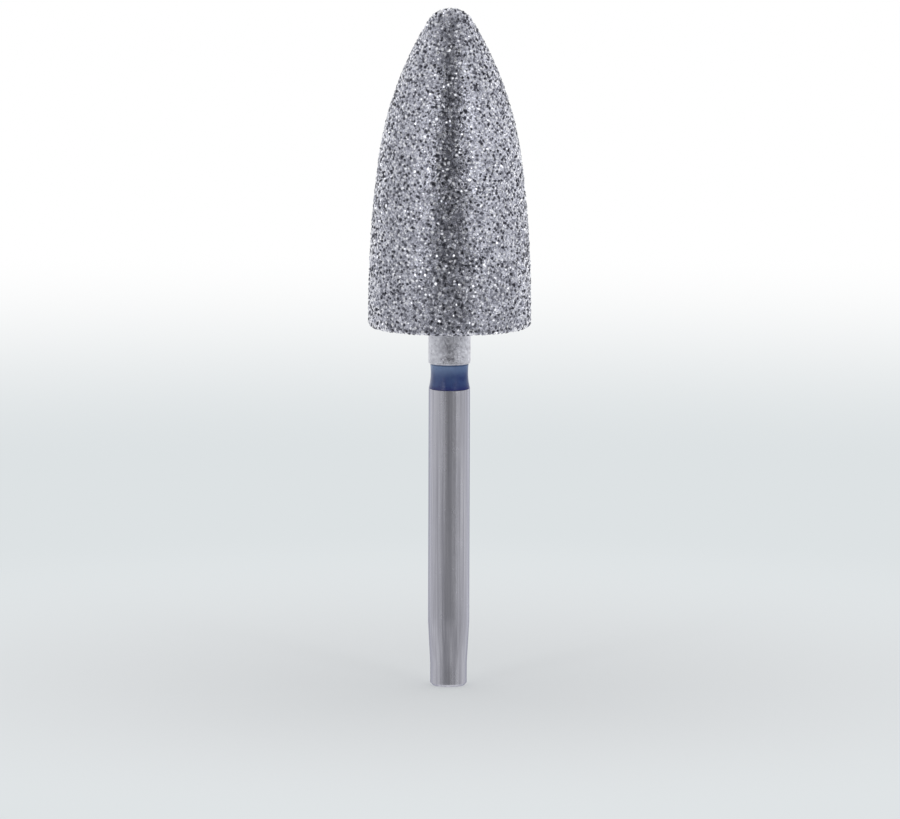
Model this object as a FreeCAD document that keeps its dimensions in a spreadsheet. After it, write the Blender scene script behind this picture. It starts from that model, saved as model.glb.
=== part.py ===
import FreeCAD, Part
import collections
import math
import os
import Sketcher

# Plated diamond bur for a straight handpiece, with an ogive head and a colour ring for its grit.
# The frame is the shank's: the origin is the middle of its end face and +Z runs along the axis to the tip.
# All lengths are millimetres. Every piece is turned, so each body is revolved from half outlines in XZ.

# Driving dimensions: the alias, the size and what it measures
SIZES = (
    ("shank_diameter", 2.35, "standard straight handpiece shank"),
    ("shank_length", 17.08, "end face to the lower edge of the ring groove"),
    ("lead_in_diameter", 2.09, "reduced end that finds the collet"),
    ("lead_in_length", 1.26, "straight part of the reduced end"),
    ("lead_in_taper", 2.40, "length of the cone up to the full shank"),
    ("end_bevel", 0.15, "edge of the end face"),
    ("ring_height", 1.42, "width of the groove and of the enamel in it"),
    ("ring_sink", 0.115, "how far the enamel's waist lies below the shank"),
    ("ring_waist_height", 0.90, "lower edge of the ring to its waist"),
    ("enamel_thickness", 0.085, "enamel over the bed of the groove at the waist"),
    ("neck_plating", 0.025, "nickel on the neck, which has the shank's diameter"),
    ("neck_length", 2.10, "groove to the underside of the head"),
    ("neck_bevel", 0.10, "lower edge of the neck"),
    ("head_diameter", 9.30, "over the grit"),
    ("rim_radius", 0.28, "round of the head's lower rim over the grit"),
    ("land_height", 1.10, "underside of the head to the top of its straight land"),
    ("flank_height", 8.50, "height of the long flank arc above the land"),
    ("flank_inset", 0.565, "how far the flank arc draws in over its height"),
    ("point_height", 8.60, "top of the flank arc to the tip"),
    ("nose_radius", 1.50, "round of the tip over the grit"),
    ("grit_layer", 0.15, "diamond and nickel over the steel core"),
    ("core_bevel", 0.13, "lower edge of the steel core under the layer"),
)

# Heights and radii that several outlines share, as formulas on the sheet
GROOVE_Z = "Sizes.shank_length"
THROAT_Z = GROOVE_Z + " + Sizes.ring_height"
HEAD_Z = THROAT_Z + " + Sizes.neck_length"
CORE_Z = HEAD_Z + " + Sizes.grit_layer"
LAND_Z = HEAD_Z + " + Sizes.land_height"
SHANK_R = "Sizes.shank_diameter / 2"
NECK_R = SHANK_R + " + Sizes.neck_plating"
BED_R = SHANK_R + " - Sizes.ring_sink - Sizes.enamel_thickness"
SEAM = "Sizes.point_height / 2"

START, END, CENTRE = range(1, 4)  # how a constraint names the points of a line or arc
ORIGIN = (-1, START)  # how it names the sketch's own origin
UPRIGHT = FreeCAD.Vector(0, 0, 1)  # a sketch's own normal
TOUCH = 1e-6  # closest that two measured places count as one

# The arcs of the head's outline from the tip down. The brow and the shoulder are two bands of one arc.
Ogive = collections.namedtuple("Ogive", "nose brow shoulder flank")


def fill_sheet(doc):
    """Makes the spreadsheet of driving dimensions and returns its numbers by alias."""
    sheet = doc.addObject("Spreadsheet::Sheet", "Sizes")
    for row, (alias, size, note) in enumerate(SIZES, start=1):
        sheet.set(f"A{row}", alias)
        sheet.set(f"B{row}", str(size))
        sheet.setAlias(f"B{row}", alias)
        sheet.set(f"C{row}", note)
    doc.recompute()
    return {alias: float(sheet.get(alias)) for alias, _, _ in SIZES}


def add_shared(v):
    """Adds the shared heights and radii to the sizes, as the formulas above give them."""
    v["groove_z"] = v["shank_length"]
    v["throat_z"] = v["groove_z"] + v["ring_height"]
    v["head_z"] = v["throat_z"] + v["neck_length"]
    v["core_z"] = v["head_z"] + v["grit_layer"]
    v["land_z"] = v["head_z"] + v["land_height"]
    v["lead_r"] = v["lead_in_diameter"] / 2
    v["shank_r"] = v["shank_diameter"] / 2
    v["neck_r"] = v["shank_r"] + v["neck_plating"]
    v["waist_r"] = v["shank_r"] - v["ring_sink"]
    v["bed_r"] = v["waist_r"] - v["enamel_thickness"]
    v["head_r"] = v["head_diameter"] / 2
    v["tip_z"] = v["land_z"] + v["flank_height"] + v["point_height"]


def new_body(doc, label):
    """Adds a body whose label names its file."""
    body = doc.addObject("PartDesign::Body", label)
    body.Label = label
    return body


def new_sketch(body, name):
    """Adds a sketch on the body's own XZ plane, so that its vertical axis is the axis of the bur."""
    sketch = body.newObject("Sketcher::SketchObject", name)
    plane = next(f for f in body.Origin.OriginFeatures if f.Role == "XZ_Plane")
    sketch.AttachmentSupport = [(plane, "")]
    sketch.MapMode = "FlatFace"
    return sketch


def revolve(body, kind, sketch, name):
    """Turns a sketch about the axis of the bur, as a Revolution that adds or a Groove that cuts."""
    turned = body.newObject("PartDesign::" + kind, name)
    turned.Profile = sketch
    turned.ReferenceAxis = (sketch, ["V_Axis"])
    turned.Angle = 360
    sketch.Visibility = False
    return turned


def tie(sketch, kind, *ends):
    """Adds a constraint that has no size."""
    sketch.addConstraint(Sketcher.Constraint(kind, *ends))


def tie_to_axis(sketch, curve, point):
    """Keeps a point on the sketch's vertical axis, which constraints name -2."""
    tie(sketch, "PointOnObject", curve, point, -2)


def bind(sketch, name, formula, kind, *ends):
    """Adds a named dimension bound to the sheet. The drawn geometry gives its start value."""
    if kind == "Radius":
        start = sketch.Geometry[ends[0]].Radius
    else:
        near, far = sketch.getPoint(*ends[:2]), sketch.getPoint(*ends[2:])
        start = far.x - near.x if kind == "DistanceX" else far.y - near.y
    number = sketch.addConstraint(Sketcher.Constraint(kind, *ends, start))
    sketch.renameConstraint(number, name)
    sketch.setExpression("Constraints." + name, formula)


def add_line(sketch, start, end, helper=False):
    """Adds a line between two (x, z) points, upright or level where it is drawn so."""
    line = sketch.addGeometry(Part.LineSegment(FreeCAD.Vector(*start, 0), FreeCAD.Vector(*end, 0)), helper)
    if abs(start[0] - end[0]) < TOUCH:
        tie(sketch, "Vertical", line)
    elif abs(start[1] - end[1]) < TOUCH:
        tie(sketch, "Horizontal", line)
    return line


def add_arc(sketch, centre, radius, low, high, helper=False):
    """Adds an arc that runs anticlockwise from one angle to another, in radians."""
    circle = Part.Circle(FreeCAD.Vector(*centre, 0), UPRIGHT, radius)
    return sketch.addGeometry(Part.ArcOfCircle(circle, low, high), helper)


def add_polygon(sketch, points):
    """Adds a closed outline of lines and returns their numbers."""
    lines = [add_line(sketch, a, b) for a, b in zip(points, points[1:] + points[:1])]
    for line, after in zip(lines, lines[1:] + lines[:1]):
        tie(sketch, "Coincident", line, END, after, START)
    return lines


def ogive_arcs(v):
    """Works out each arc of the head's outline as its centre, its radius and its lower and upper angle.

    The flank arc leaves the land upright and draws in by its inset over its height. The shoulder arc is
    tangent to it there, and to the sphere of the nose, whose centre is on the axis under the tip.
    """
    inset, height, nose = v["flank_inset"], v["flank_height"], v["nose_radius"]
    flank = (height**2 + inset**2) / (2 * inset)
    flank_hub = (v["head_r"] - flank, v["land_z"])
    meet_x, meet_z = v["head_r"] - inset, v["land_z"] + height
    nose_hub = (0, v["tip_z"] - nose)
    lean = math.asin(height / flank)
    drop = meet_z - nose_hub[1]
    inward = meet_x * math.cos(lean) + drop * math.sin(lean)
    shoulder = (meet_x**2 + drop**2 - nose**2) / (2 * (inward - nose))
    hub_x, hub_z = meet_x - shoulder * math.cos(lean), meet_z - shoulder * math.sin(lean)
    seam = math.asin((meet_z + v["point_height"] / 2 - hub_z) / shoulder)
    tilt = math.atan2(nose_hub[1] - hub_z, -hub_x)
    return Ogive(
        nose=(nose_hub, nose, tilt, math.pi / 2),
        brow=((hub_x, hub_z), shoulder, seam, tilt),
        shoulder=((hub_x, hub_z), shoulder, lean, seam),
        flank=(flank_hub, flank, 0, lean),
    )


def add_ogive(sketch, v, inset, helper=False):
    """Draws the arcs of the head's outline, set in from the finished surface about the same centres."""
    arcs = Ogive(
        *[add_arc(sketch, hub, radius - inset, low, high, helper) for hub, radius, low, high in ogive_arcs(v)]
    )
    tie(sketch, "Tangent", arcs.nose, START, arcs.brow, END)
    tie(sketch, "Coincident", arcs.brow, START, arcs.shoulder, END)
    tie(sketch, "Coincident", arcs.brow, CENTRE, arcs.shoulder, CENTRE)
    tie(sketch, "Tangent", arcs.shoulder, START, arcs.flank, END)
    tie(sketch, "Horizontal", arcs.flank, START, arcs.flank, CENTRE)
    tie_to_axis(sketch, arcs.nose, END)
    return arcs


def bind_ogive(sketch, arcs):
    """Ties the arcs of the finished surface to the sheet."""
    tie_to_axis(sketch, arcs.nose, CENTRE)
    bind(sketch, "nose_radius", "Sizes.nose_radius", "Radius", arcs.nose)
    bind(sketch, "half_head", "Sizes.head_diameter / 2", "DistanceX", *ORIGIN, arcs.flank, START)
    bind(sketch, "land_top", LAND_Z, "DistanceY", *ORIGIN, arcs.flank, START)
    bind(sketch, "flank_height", "Sizes.flank_height", "DistanceY", arcs.flank, START, arcs.flank, END)
    bind(sketch, "flank_inset", "Sizes.flank_inset", "DistanceX", arcs.flank, END, arcs.flank, START)
    bind(sketch, "point_height", "Sizes.point_height", "DistanceY", arcs.flank, END, arcs.nose, END)
    bind(sketch, "seam", SEAM, "DistanceY", arcs.flank, END, arcs.brow, START)


def close_ogive(sketch, arcs, land, floor, base, tip):
    """Joins the arcs to the land below them, and to the floor by a line along the axis."""
    spine = add_line(sketch, (0, base), (0, tip))
    tie(sketch, "Coincident", land, END, arcs.flank, START)
    tie(sketch, "Coincident", spine, START, floor, START)
    tie(sketch, "Coincident", spine, END, arcs.nose, END)


def draw_finished_head(sketch, v):
    """Draws the head's half outline over the grit, with its round lower rim."""
    arcs = add_ogive(sketch, v, 0)
    bind_ogive(sketch, arcs)
    edge, base, radius = v["head_r"], v["head_z"], v["rim_radius"]
    land = add_line(sketch, (edge, base + radius), (edge, v["land_z"]))
    rim = add_arc(sketch, (edge - radius, base + radius), radius, -math.pi / 2, 0)
    floor = add_line(sketch, (0, base), (edge - radius, base))
    tie(sketch, "Tangent", land, START, rim, END)
    tie(sketch, "Tangent", rim, START, floor, END)
    close_ogive(sketch, arcs, land, floor, base, v["tip_z"])
    bind(sketch, "rim_radius", "Sizes.rim_radius", "Radius", rim)
    bind(sketch, "base_height", HEAD_Z, "DistanceY", *ORIGIN, floor, START)


def draw_core(sketch, v):
    """Draws the steel core's half outline one layer inside the finished arcs, which are drawn as helpers."""
    finished = add_ogive(sketch, v, 0, helper=True)
    bind_ogive(sketch, finished)
    layer, bevel = v["grit_layer"], v["core_bevel"]
    arcs = add_ogive(sketch, v, layer)
    tie(sketch, "Coincident", arcs.nose, CENTRE, finished.nose, CENTRE)
    tie(sketch, "Coincident", arcs.shoulder, CENTRE, finished.shoulder, CENTRE)
    tie(sketch, "Coincident", arcs.flank, CENTRE, finished.flank, CENTRE)
    bind(sketch, "core_nose", "Sizes.nose_radius - Sizes.grit_layer", "Radius", arcs.nose)
    bind(sketch, "core_seam", SEAM, "DistanceY", arcs.flank, END, arcs.brow, START)

    edge, base = v["head_r"] - layer, v["core_z"]
    land = add_line(sketch, (edge, base + bevel), (edge, v["land_z"]))
    slope = add_line(sketch, (edge - bevel, base), (edge, base + bevel))
    floor = add_line(sketch, (0, base), (edge - bevel, base))
    tie(sketch, "Coincident", slope, END, land, START)
    tie(sketch, "Coincident", slope, START, floor, END)
    close_ogive(sketch, arcs, land, floor, base, v["tip_z"] - layer)
    bind(sketch, "bevel_width", "Sizes.core_bevel", "DistanceX", slope, START, slope, END)
    bind(sketch, "bevel_height", "Sizes.core_bevel", "DistanceY", slope, START, slope, END)
    bind(sketch, "core_height", CORE_Z, "DistanceY", *ORIGIN, floor, START)


def draw_stem(sketch, v):
    """Draws the stem's half outline from the end face up to the core, with the groove for the ring."""
    lead, shank, bed, neck = v["lead_r"], v["shank_r"], v["bed_r"], v["neck_r"]
    cone, full = v["lead_in_length"], v["lead_in_length"] + v["lead_in_taper"]
    groove, throat, core = v["groove_z"], v["throat_z"], v["core_z"]
    corners = [(0, 0), (lead, 0), (lead, cone), (shank, full), (shank, groove)]
    corners += [(bed, groove), (bed, throat), (neck, throat), (neck, core), (0, core)]
    end, lead_side, taper, shank_side, _, bed_side, _, neck_side, _, _ = add_polygon(sketch, corners)
    tie(sketch, "Coincident", end, START, *ORIGIN)
    bind(sketch, "half_lead_in", "Sizes.lead_in_diameter / 2", "DistanceX", end, START, end, END)
    bind(sketch, "lead_in_length", "Sizes.lead_in_length", "DistanceY", lead_side, START, lead_side, END)
    bind(sketch, "lead_in_taper", "Sizes.lead_in_taper", "DistanceY", taper, START, taper, END)
    bind(sketch, "half_shank", SHANK_R, "DistanceX", *ORIGIN, shank_side, END)
    bind(sketch, "shank_length", GROOVE_Z, "DistanceY", *ORIGIN, shank_side, END)
    bind(sketch, "half_bed", BED_R, "DistanceX", *ORIGIN, bed_side, START)
    bind(sketch, "ring_height", "Sizes.ring_height", "DistanceY", bed_side, START, bed_side, END)
    bind(sketch, "half_neck", NECK_R, "DistanceX", *ORIGIN, neck_side, END)
    bind(sketch, "core_height", CORE_Z, "DistanceY", *ORIGIN, neck_side, END)


def bevel_edge(body, base, name, radius, height, size):
    """Bevels the circular edge that has that radius at that height. size names its size on the sheet."""
    for number, edge in enumerate(base.Shape.Edges, start=1):
        curve = edge.Curve
        if not isinstance(curve, Part.Circle) or abs(curve.Radius - radius) > TOUCH:
            continue
        if abs(curve.Center.z - height) < TOUCH:
            bevel = body.newObject("PartDesign::Chamfer", name)
            bevel.Base = (base, [f"Edge{number}"])
            bevel.setExpression("Size", size)
            return bevel
    raise RuntimeError(f"no circular edge of radius {radius} at height {height}")


def make_blank(doc, v):
    """Turns the steel blank in one piece: lead-in end, shank, ring groove, neck and the core of the head."""
    body = new_body(doc, "steel_blank")
    outline = new_sketch(body, "StemOutline")
    draw_stem(outline, v)
    stem = revolve(body, "Revolution", outline, "Stem")
    doc.recompute()
    end = bevel_edge(body, stem, "EndBevel", v["lead_r"], 0, "Sizes.end_bevel")
    doc.recompute()
    bevel_edge(body, end, "NeckBevel", v["neck_r"], v["throat_z"], "Sizes.neck_bevel")
    core = new_sketch(body, "CoreOutline")
    draw_core(core, v)
    revolve(body, "Revolution", core, "HeadCore")
    return body


def make_layer(doc, v):
    """Makes the plated diamond layer: a shell all round the core, open only where the neck comes through."""
    body = new_body(doc, "diamond_layer")
    outline = new_sketch(body, "FinishedOutline")
    draw_finished_head(outline, v)
    solid = revolve(body, "Revolution", outline, "FinishedForm")

    core = new_sketch(body, "CoreOutline")
    draw_core(core, v)
    hollow = revolve(body, "Groove", core, "CoreHollow")

    bore = new_sketch(body, "NeckBoreOutline")
    neck, low, high = v["neck_r"], v["head_z"], v["core_z"]
    under, side, _, _ = add_polygon(bore, [(0, low), (neck, low), (neck, high), (0, high)])
    tie_to_axis(bore, under, START)
    bind(bore, "base_height", HEAD_Z, "DistanceY", *ORIGIN, under, START)
    bind(bore, "half_neck", NECK_R, "DistanceX", under, START, under, END)
    bind(bore, "grit_layer", "Sizes.grit_layer", "DistanceY", side, START, side, END)
    opened = revolve(body, "Groove", bore, "NeckBore")
    doc.recompute()
    if not solid.Shape.Volume > hollow.Shape.Volume > opened.Shape.Volume:
        raise RuntimeError("the diamond layer wasn't hollowed")
    return body


def make_ring(doc, v):
    """Makes the enamel ring that fills the groove. Its hollow face meets the shank flush at its foot."""
    body = new_body(doc, "colour_ring")
    sketch = new_sketch(body, "RingOutline")
    shank, waist, bed = v["shank_r"], v["waist_r"], v["bed_r"]
    low, high = v["groove_z"], v["throat_z"]
    middle = low + v["ring_waist_height"]
    radius = (v["ring_waist_height"] ** 2 + v["ring_sink"] ** 2) / (2 * v["ring_sink"])
    hub = (waist + radius, middle)
    rise = math.asin((high - middle) / radius)
    drop = math.asin((middle - low) / radius)

    face = add_arc(sketch, hub, radius, math.pi - rise, math.pi + drop)
    foot = add_line(sketch, (shank, low), (bed, low))
    back = add_line(sketch, (bed, low), (bed, high))
    top = add_line(sketch, (bed, high), (hub[0] - radius * math.cos(rise), high))
    spoke = add_line(sketch, hub, (waist, middle), helper=True)
    tie(sketch, "Coincident", face, END, foot, START)
    tie(sketch, "Coincident", foot, END, back, START)
    tie(sketch, "Coincident", back, END, top, START)
    tie(sketch, "Coincident", top, END, face, START)
    tie(sketch, "Coincident", spoke, START, face, CENTRE)
    tie(sketch, "PointOnObject", spoke, END, face)
    bind(sketch, "ring_foot", GROOVE_Z, "DistanceY", *ORIGIN, foot, START)
    bind(sketch, "half_shank", SHANK_R, "DistanceX", *ORIGIN, foot, START)
    bind(sketch, "half_bed", BED_R, "DistanceX", *ORIGIN, back, START)
    bind(sketch, "ring_height", "Sizes.ring_height", "DistanceY", back, START, back, END)
    bind(sketch, "ring_sink", "Sizes.ring_sink", "DistanceX", spoke, END, foot, START)
    bind(sketch, "waist_height", "Sizes.ring_waist_height", "DistanceY", foot, START, spoke, START)
    revolve(body, "Revolution", sketch, "Enamel")
    return body


def check(doc, bodies):
    """Stops at a failed object, a loose sketch or a broken shape."""
    for item in doc.Objects:
        if {"Invalid", "Error"} & set(item.State):
            raise RuntimeError(f"{item.Label} failed: {item.State}")
        if item.isDerivedFrom("Sketcher::SketchObject") and not item.FullyConstrained:
            raise RuntimeError(f"{item.Label} isn't fully constrained")
    for body in bodies:
        shape = body.Shape
        if shape.isNull() or not shape.isValid() or len(shape.Solids) != 1:
            raise RuntimeError(f"{body.Label} isn't one sound solid")


def main():
    """Builds the document and writes each piece as a STEP file."""
    doc = FreeCAD.newDocument("DentalBur")
    v = fill_sheet(doc)
    add_shared(v)
    bodies = [make_blank(doc, v), make_layer(doc, v), make_ring(doc, v)]
    doc.recompute()
    check(doc, bodies)
    os.makedirs("parts", exist_ok=True)
    for body in bodies:
        body.Shape.exportStep(f"parts/{body.Label}.step")
        box = body.Shape.optimalBoundingBox()
        print(f"{body.Label}: {body.Shape.Volume:.3f} mm3, z {box.ZMin:.3f} to {box.ZMax:.3f}")


main()
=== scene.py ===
"""Dressed model of a diamond bur with an ogive head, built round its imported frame.

The bur stands on the end of its shank with the tip up. The frame is the one of the solids: metres,
the origin in the middle of the shank's end face and +Z along the axis to the tip. Sizes are kept in
millimetres and made metres where a mesh or an object is made.
"""

from __future__ import annotations

import logging
import math
from dataclasses import dataclass
from enum import Enum
from functools import reduce
from typing import Iterable

import bpy
import numpy as np
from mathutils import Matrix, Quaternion, Vector

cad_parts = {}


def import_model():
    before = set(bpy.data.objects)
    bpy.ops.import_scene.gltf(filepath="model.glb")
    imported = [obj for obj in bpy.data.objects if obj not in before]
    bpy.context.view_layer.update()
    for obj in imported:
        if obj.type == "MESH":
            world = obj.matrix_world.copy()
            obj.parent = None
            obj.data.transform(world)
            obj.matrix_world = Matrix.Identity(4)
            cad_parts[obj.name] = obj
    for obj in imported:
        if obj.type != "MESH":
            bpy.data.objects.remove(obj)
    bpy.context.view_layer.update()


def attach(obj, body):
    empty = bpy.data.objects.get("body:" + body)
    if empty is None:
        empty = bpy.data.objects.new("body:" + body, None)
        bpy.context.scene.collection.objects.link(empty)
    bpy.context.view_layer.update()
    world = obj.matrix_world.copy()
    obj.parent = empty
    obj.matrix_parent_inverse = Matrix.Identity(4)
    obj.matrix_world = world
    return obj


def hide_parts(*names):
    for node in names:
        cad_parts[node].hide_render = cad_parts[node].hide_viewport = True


Pair = tuple[float, float]
Colour = tuple[float, float, float, float]
Socket = bpy.types.NodeSocket
Sockets = bpy.types.NodeOutputs

LOG = logging.getLogger("bur")
MM = 0.001  # metres in a millimetre
BODY = "root"  # the one body of a piece without joints
BAKE_MAP = "OFBake"  # the map through which a piece's pattern is kept with its mesh
GOLDEN_TURN = math.pi * (3.0 - math.sqrt(5.0))  # the angle that spreads points round evenly


# Outlines and turned surfaces


@dataclass(frozen=True)
class Outline:
    """Half outline of a turned piece, as (radius, height) points in millimetres.

    It is followed with the material on its left, so its outward normal is on its right.
    """

    points: np.ndarray

    @staticmethod
    def line(start: Pair, end: Pair, step: float) -> np.ndarray:
        """Points on a straight run: start + t (end - start), with t in equal parts.

        Args:
            start: First point.
            end: Last point, which is left for the next run to give.
            step: Longest distance between two points.

        Returns:
            The points, as an array of (radius, height).
        """
        hair = 1e-6  # taken off, so that a whole number of steps stays whole
        parts = max(1, math.ceil(math.dist(start, end) / step - hair))
        t = np.arange(parts) / parts
        return np.outer(1 - t, start) + np.outer(t, end)

    @staticmethod
    def arc(centre: Pair, radius: float, low: float, high: float, step: float) -> np.ndarray:
        """Points on an arc: centre + radius (cos a, sin a), with a in equal parts from low to high.

        Args:
            centre: Centre of the arc.
            radius: Its radius.
            low: Angle of its first point, in radians.
            high: Angle of its end, which is left for the next run to give.
            step: Longest distance between two points.

        Returns:
            The points, as an array of (radius, height).
        """
        count = max(2, math.ceil(abs(high - low) * radius / step))
        a = low + (high - low) * np.arange(count) / count
        return np.array(centre) + radius * np.stack([np.cos(a), np.sin(a)], 1)

    @classmethod
    def joined(cls, *runs: np.ndarray | Iterable[Pair]) -> Outline:
        """One outline of several runs, in order."""
        return cls(np.concatenate([np.asarray(run, float).reshape(-1, 2) for run in runs]))

    def normals(self) -> np.ndarray:
        """Outward unit normals: the step from the point before to the one after, turned right."""
        right = np.gradient(self.points, axis=0)[:, ::-1] * [1, -1]
        return right / np.linalg.norm(right, axis=1, keepdims=True)

    def lengths(self) -> np.ndarray:
        """Distance along the outline from its first point to each point."""
        steps = np.linalg.norm(np.diff(self.points, axis=0), axis=1)
        return np.concatenate([[0.0], np.cumsum(steps)])


def cells(grid: np.ndarray) -> np.ndarray:
    """The corners of each cell of a grid, in order round it: along its row, a row on, and back."""
    return np.stack([grid[:-1, :-1], grid[:-1, 1:], grid[1:, 1:], grid[1:, :-1]], 2)


def make_mesh(
    name: str, places: np.ndarray, faces: list[np.ndarray], uv: list[np.ndarray]
) -> bpy.types.Mesh:
    """Puts arrays of vertices, faces and map places into a new mesh.

    Args:
        name: Name of the mesh.
        places: Vertices, in millimetres, as (n, 3).
        faces: Arrays of vertex numbers, one array for each number of corners.
        uv: For each array of faces, its corners' places on the map, as (faces, corners, 2).

    Returns:
        The mesh, in metres, with smooth faces.
    """
    mesh = bpy.data.meshes.new(name)
    corners = np.concatenate([f.ravel() for f in faces])
    counts = np.concatenate([np.full(len(f), f.shape[1]) for f in faces])
    starts = np.concatenate([[0], np.cumsum(counts)[:-1]])
    mesh.vertices.add(len(places))
    mesh.vertices.foreach_set("co", (places * MM).astype(np.float32).ravel())
    mesh.loops.add(len(corners))
    mesh.loops.foreach_set("vertex_index", corners.astype(np.int32))
    mesh.polygons.add(len(starts))
    mesh.polygons.foreach_set("loop_start", starts.astype(np.int32))
    mesh.update(calc_edges=True)
    layer = mesh.uv_layers.new(name=BAKE_MAP)
    flat = np.concatenate([u.reshape(-1, 2) for u in uv]).astype(np.float32)
    layer.uv.foreach_set("vector", flat.ravel())
    mesh.polygons.foreach_set("use_smooth", np.ones(len(starts), bool))
    mesh.validate()
    return mesh


@dataclass(frozen=True)
class Lathe:
    """Turns an outline about the Z axis.

    A point of the surface is (r cos a, r sin a, z), for (r, z) on the outline and a round the axis,
    moved along its normal where a relief is given.
    """

    sides: int

    def places(self, outline: Outline, relief: np.ndarray | None = None) -> np.ndarray:
        """Works out the grid of vertices.

        Args:
            outline: The outline that is turned.
            relief: How far each vertex stands out along its normal, as (rows, sides).

        Returns:
            The vertices, as (rows, sides, 3).
        """
        a = np.arange(self.sides) * (2 * math.pi / self.sides)
        along, across = outline.points, outline.normals()
        lift = np.zeros((len(along), self.sides)) if relief is None else relief
        r = along[:, :1] + across[:, :1] * lift
        z = along[:, 1:] + across[:, 1:] * lift
        return np.stack([r * np.cos(a), r * np.sin(a), z], 2)

    def mesh(
        self, name: str, outline: Outline, loop: bool, relief: np.ndarray | None = None
    ) -> bpy.types.Mesh:
        """Makes a closed mesh of the turned outline.

        Each face joins two rows and two columns of the grid. On the map a place is the angle round
        the axis by the distance along the outline, each as a share of the whole.

        Args:
            name: Name of the mesh.
            outline: The outline. It starts and ends on the axis, or closes on itself.
            loop: True if the outline closes on itself.
            relief: How far each vertex stands out along its normal, as (rows, sides).

        Returns:
            The mesh.
        """
        grid = self.places(outline, relief)
        rows, sides = grid.shape[:2]
        along = outline.lengths()
        if loop:
            along = np.append(along, along[-1] + math.dist(outline.points[-1], outline.points[0]))
            vertices = grid.reshape(-1, 3)
            numbers = np.arange(rows * sides).reshape(rows, sides)
        else:
            # Each pole is one vertex, and they come after all the others.
            vertices = np.concatenate([grid[1:-1].reshape(-1, 3), grid[:1, 0], grid[-1:, 0]])
            numbers = np.arange(-sides, (rows - 1) * sides).reshape(rows, sides)
            numbers[0], numbers[-1] = len(vertices) - 2, len(vertices) - 1
        quads = cells(np.pad(numbers, ((0, int(loop)), (0, 1)), mode="wrap"))
        uv = cells(np.stack(np.meshgrid(np.arange(sides + 1) / sides, along / along[-1]), 2))
        if loop:
            return make_mesh(name, vertices, [quads.reshape(-1, 4)], [uv.reshape(-1, 4, 2)])
        walls = [part[1:-1].reshape(-1, *part.shape[2:]) for part in (quads, uv)]
        caps = [np.concatenate([part[0][:, [0, 2, 3]], part[-1][:, :3]]) for part in (quads, uv)]
        return make_mesh(name, vertices, [walls[0], caps[0]], [walls[1], caps[1]])


def add_object(name: str, data: bpy.types.ID) -> bpy.types.Object:
    """Adds an object with its data to the scene, at the origin.

    Args:
        name: Name of the object.
        data: Its mesh, lamp or lens.

    Returns:
        The new object.
    """
    made = bpy.data.objects.new(name, data)
    bpy.context.scene.collection.objects.link(made)
    return made


def add_piece(mesh: bpy.types.Mesh, slot: str, *nodes: str) -> bpy.types.Object:
    """Adds a piece of the bur that rides on its body.

    Args:
        mesh: The piece's mesh, whose name the piece takes.
        slot: A material slot of the record; not used.
        nodes: The solids that it stands for.

    Returns:
        The new object, at the origin.
    """
    piece = add_object(mesh.name, mesh)
    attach(piece, BODY)
    if nodes:
        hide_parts(*nodes)
    LOG.info("%s: %d faces", piece.name, len(mesh.polygons))
    return piece


# Shader nodes


class Ramp(Enum):
    """How a value goes from one end of a range to the other."""

    SOFT = "SMOOTHSTEP"
    EVEN = "LINEAR"


class Wiring:
    """Adds and links the nodes of one tree."""

    def __init__(self, tree: bpy.types.NodeTree) -> None:
        """Starts on an empty tree."""
        self.tree = tree
        tree.nodes.clear()

    def add(self, kind: str, inputs: dict | None = None, **settings: object) -> bpy.types.Node:
        """Adds a node.

        Args:
            kind: The node's type, without the leading ShaderNode.
            inputs: By input name or number, a number or colour to set or an output to link.
            settings: The node's own properties.

        Returns:
            The node.
        """
        node = self.tree.nodes.new(kind if kind.startswith("Node") else "ShaderNode" + kind)
        for key, value in settings.items():
            setattr(node, key, value)
        for key, value in (inputs or {}).items():
            if isinstance(value, Socket):
                self.tree.links.new(value, node.inputs[key])
            else:
                node.inputs[key].default_value = value
        return node

    def maths(self, operation: str, *values: float | Socket, clamp: bool = False) -> Socket:
        """The result of a Math node on one to three values."""
        node = self.add("Math", dict(enumerate(values)), operation=operation, use_clamp=clamp)
        return node.outputs[0]

    def combined(self, operation: str, *values: float | Socket) -> Socket:
        """Any number of values taken together by one operation, from the first on."""
        return reduce(lambda so_far, value: self.maths(operation, so_far, value), values)

    def ranged(
        self,
        value: Socket,
        low: float,
        high: float,
        to_low: float = 0.0,
        to_high: float = 1.0,
        ramp: Ramp = Ramp.SOFT,
    ) -> Socket:
        """A value brought from one range to another, held at both ends."""
        inputs = {"Value": value, "From Min": low, "From Max": high, "To Min": to_low, "To Max": to_high}
        return self.add("MapRange", inputs, interpolation_type=ramp.value).outputs["Result"]

    def mixed(self, share: Socket, first: float | Socket, second: float | Socket) -> Socket:
        """A number between two, by a share from 0 to 1."""
        return self.add("Mix", {0: share, 2: first, 3: second}, data_type="FLOAT").outputs[0]

    def blend(self, share: Socket, first: Colour | Socket, second: Colour | Socket) -> Socket:
        """A colour between two, by a share from 0 to 1."""
        inputs = {0: share, 6: first, 7: second}
        return self.add("Mix", inputs, data_type="RGBA", clamp_factor=True).outputs[2]

    def surface(self, inputs: dict) -> Socket:
        """The shader of a Principled BSDF with these inputs."""
        return self.add("BsdfPrincipled", inputs).outputs[0]


def rgb(*screen: float) -> Colour:
    """The linear colour that a shader takes, of one written as on a screen.

    Args:
        screen: Red, green and blue, from 0 to 255.

    Returns:
        Red, green, blue and an alpha of 1.
    """
    parts = np.array(screen) / 255.0
    linear = np.where(parts <= 0.04045, parts / 12.92, ((parts + 0.055) / 1.055) ** 2.4)
    return (*map(float, linear), 1.0)


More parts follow.
